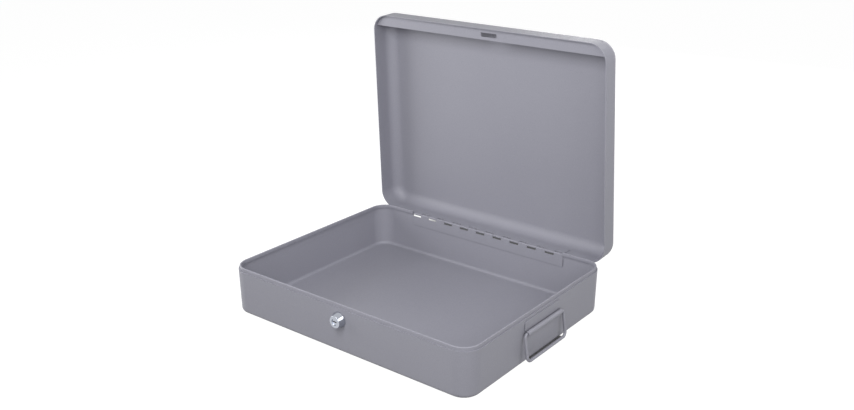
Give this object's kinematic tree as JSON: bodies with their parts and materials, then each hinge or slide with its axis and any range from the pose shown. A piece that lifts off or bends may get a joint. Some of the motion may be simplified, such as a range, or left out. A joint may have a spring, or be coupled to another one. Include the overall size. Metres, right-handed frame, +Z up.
{
  "type": "document box",
  "caption": "Lockable steel document box with a drawn base tray, a deep-edged lid on a piano hinge, a cam lock and wire drop handles.",
  "frame": {"origin": "centre of the base's flat underside, on the surface that the box stands on", "axes": "+X to the right seen from the lock side, +Y from the lock wall to the hinge wall, +Z up"},
  "size_m": [0.3828, 0.324, 0.3395],
  "materials": {
    "painted_shell": "fine satin powder coat, grey",
    "painted_hinge": "satin paint over the hinge, grey",
    "painted_handle": "satin paint, grey",
    "lock_chrome": "polished chrome plate",
    "plug_nickel": "bright nickel plate",
    "bright_steel": "bright zinc plate",
    "wafer_brass": "plain brass"
  },
  "bodies": {
    "base": {"base_tray": "painted_shell", "hinge_base_leaf": "painted_hinge", "hinge_pin": "bright_steel", "handle_clip_right": "painted_handle", "handle_clip_left": "painted_handle", "lock_housing": "lock_chrome", "lock_nut": "bright_steel"},
    "lid": {"lid_shell": "painted_shell", "lid_lock_plate": "painted_shell", "hinge_lid_leaf": "painted_hinge"},
    "lock_plug_and_cam": {"lock_plug": "plug_nickel", "lock_wafers": "wafer_brass", "wafer_springs": "bright_steel", "plug_retainer": "wafer_brass", "cam_stop_washer": "bright_steel", "lock_cam": "bright_steel", "cam_spring_washer": "bright_steel", "cam_screw": "bright_steel"},
    "bail_right": {"handle_bail_right": "painted_handle"},
    "bail_left": {"handle_bail_left": "painted_handle"}
  },
  "joints": [
    {"name": "lid_hinge", "type": "hinge", "parent": "base", "child": "lid", "pos_m": [0, 0.1415, 0.05566], "axis": [1, 0, 0], "range_deg": [0, 87.2]},
    {"name": "lock_turn", "type": "hinge", "parent": "base", "child": "lock_plug_and_cam", "pos_m": [0, -0.14115, 0.0414], "axis": [0, -0.9991, -0.0434], "range_deg": [0, 90]},
    {"name": "bail_right_swing", "type": "hinge", "parent": "base", "child": "bail_right", "pos_m": [0.18523, 0, 0.03757], "axis": [0, -1, 0], "range_deg": [-11.5, 167]},
    {"name": "bail_left_swing", "type": "hinge", "parent": "base", "child": "bail_left", "pos_m": [-0.18523, 0, 0.03757], "axis": [0, 1, 0], "range_deg": [-11.5, 167]}
  ]
}
